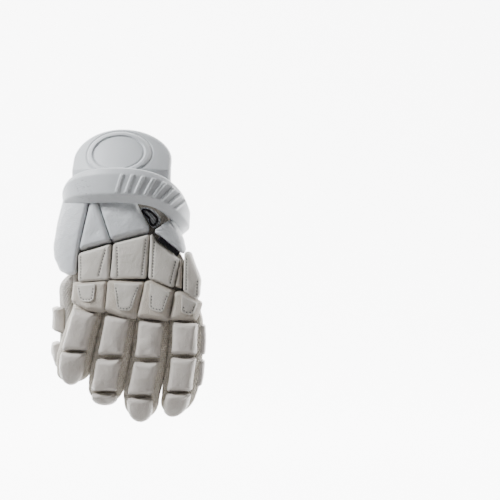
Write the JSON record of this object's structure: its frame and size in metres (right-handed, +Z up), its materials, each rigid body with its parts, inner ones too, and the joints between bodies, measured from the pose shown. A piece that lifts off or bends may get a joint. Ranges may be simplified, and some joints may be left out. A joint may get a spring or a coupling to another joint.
{
  "type": "lacrosse glove",
  "caption": "Left-hand padded lacrosse glove with a moulded foam cuff, leather pads on the back of the hand and fingers, mesh finger stalls and a leather palm.",
  "frame": {"origin": "middle of the cuff cap's top edge, where the glove hangs", "axes": "+Z up from the fingertips to the cuff, +X towards the little finger, -Y out of the back of the hand"},
  "size_m": [0.1877, 0.0931, 0.3363],
  "materials": {
    "white_leather": "soft full-grain leather over foam, satin",
    "nubuck": "grained nubuck, matt",
    "palm_leather": "thin tanned leather, matt",
    "cuff_foam": "moulded foam with a smooth skin, satin",
    "knit": "knitted spacer cloth",
    "mesh": "open hexagonal mesh cloth",
    "black_piping": "corded binding",
    "black_webbing": "woven tape"
  },
  "bodies": {
    "root": {"cuff_cap": "cuff_foam", "cuff_band": "cuff_foam", "closure_strap": "black_webbing", "back_liner": "knit", "palm_leather": "palm_leather", "mesh_window": "knit", "window_piping": "black_piping", "label_tab": "black_webbing", "wedge_gusset": "knit", "thumb_side_wrist_pad": "white_leather", "wedge_pad": "white_leather", "hood_pad": "white_leather", "little_finger_side_wrist_pad": "white_leather", "metacarpal_pad_1": "white_leather", "metacarpal_pad_2": "white_leather", "metacarpal_pad_3": "white_leather", "metacarpal_pad_4": "white_leather", "knuckle_patch_1": "white_leather", "knuckle_patch_2": "white_leather", "knuckle_patch_3": "white_leather", "knuckle_patch_4": "white_leather", "index_finger_pad_1": "white_leather", "index_finger_pad_2": "white_leather", "middle_finger_pad_1": "white_leather", "middle_finger_pad_2": "white_leather", "middle_finger_pad_3": "white_leather", "ring_finger_pad_1": "white_leather", "ring_finger_pad_2": "white_leather", "ring_finger_pad_3": "white_leather", "little_finger_pad_1": "white_leather", "little_finger_pad_2": "white_leather", "little_finger_pad_3": "white_leather", "little_finger_side_pad_1": "white_leather", "little_finger_side_pad_2": "white_leather", "thumb_pad_1": "white_leather", "thumb_pad_2": "white_leather", "knuckle_pad_1": "nubuck", "knuckle_pad_2": "nubuck", "knuckle_pad_3": "nubuck", "knuckle_pad_4": "nubuck", "index_finger_stall": "mesh", "middle_finger_stall": "mesh", "ring_finger_stall": "mesh", "little_finger_stall": "mesh", "thumb_stall": "mesh"}
  },
  "joints": []
}
